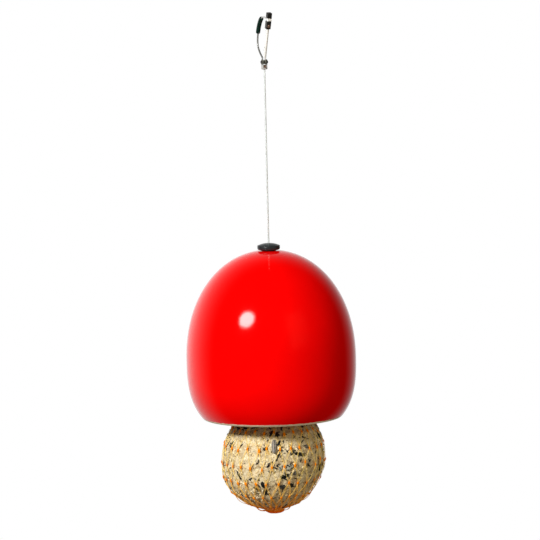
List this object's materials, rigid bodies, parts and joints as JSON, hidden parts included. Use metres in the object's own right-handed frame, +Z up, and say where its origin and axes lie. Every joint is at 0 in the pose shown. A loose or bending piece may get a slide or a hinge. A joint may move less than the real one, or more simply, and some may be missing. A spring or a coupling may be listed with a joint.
{
  "type": "bird feeder",
  "caption": "Hanging bird feeder: a spring clip and wire rope carry a glazed ceramic dome that shelters a fat ball hung in a net under its open rim.",
  "frame": {"origin": "the inside of the hanging clip's top bend, where a branch, nail or hook carries the feeder", "axes": "+Z up along the hanging rope; the clip lies in the XZ plane with its latch arm on the +X side"},
  "size_m": [0.1, 0.1, 0.2958],
  "materials": {
    "polished_steel": "polished stainless steel",
    "dark_steel": "dark oxidised steel",
    "copper": "bare copper alloy, as on rivets and swaged ends",
    "green_sleeve": "dark green plastic sleeve",
    "wire_rope": "laid stainless wire rope",
    "aluminium": "crimped aluminium",
    "red_glaze": "glossy red glaze, bare cream rim",
    "grey_rubber": "matt dark grey rubber",
    "fat_and_seeds": "suet with seeds",
    "orange_net": "orange plastic net"
  },
  "bodies": {
    "clip": {"clip_base": "polished_steel", "clip_frame": "polished_steel", "branch_sleeve": "green_sleeve", "hinge_rivet": "dark_steel"},
    "latch": {"latch_arm": "polished_steel", "latch_head": "dark_steel", "latch_rivet": "copper"},
    "rope_end": {"rope_end_ball": "copper"},
    "rope": {"hanging_rope": "wire_rope", "stop_ferrule": "aluminium", "eye_ferrule": "aluminium"},
    "washer": {"bearing_washer": "polished_steel"},
    "dome": {"dome_shell": "red_glaze", "top_grommet": "grey_rubber"},
    "hook": {"ball_hook": "polished_steel"},
    "ball": {"fat_ball": "fat_and_seeds", "net_bag": "orange_net", "net_neck": "orange_net", "net_top_clip": "aluminium", "net_bottom_gather": "orange_net"}
  },
  "joints": [
    {"name": "latch_hinge", "type": "hinge", "parent": "clip", "child": "latch", "pos_m": [0, 0, -0.0257], "axis": [0, 1, 0], "range_deg": [0, 60]},
    {"name": "rope_swing_x", "type": "hinge", "parent": "clip", "child": "rope_end", "pos_m": [0, 0, -0.02825], "axis": [1, 0, 0], "range_deg": [-15, 15]},
    {"name": "rope_swing_y", "type": "hinge", "parent": "rope_end", "child": "rope", "pos_m": [0, 0, -0.02825], "axis": [0, 1, 0], "range_deg": [-15, 15]},
    {"name": "dome_lift", "type": "slide", "parent": "rope", "child": "washer", "axis": [0, 0, 1], "range_m": [0, 0.095]},
    {"name": "dome_spin", "type": "hinge", "parent": "washer", "child": "dome", "pos_m": [0, 0, -0.144], "axis": [0, 0, 1], "continuous": true},
    {"name": "hook_swing", "type": "hinge", "parent": "rope", "child": "hook", "pos_m": [0, 0, -0.1795], "axis": [1, 0, 0], "range_deg": [-9, 9]},
    {"name": "ball_swing", "type": "hinge", "parent": "hook", "child": "ball", "pos_m": [0, 0, -0.1992], "axis": [0, 1, 0], "range_deg": [-9, 9]}
  ]
}
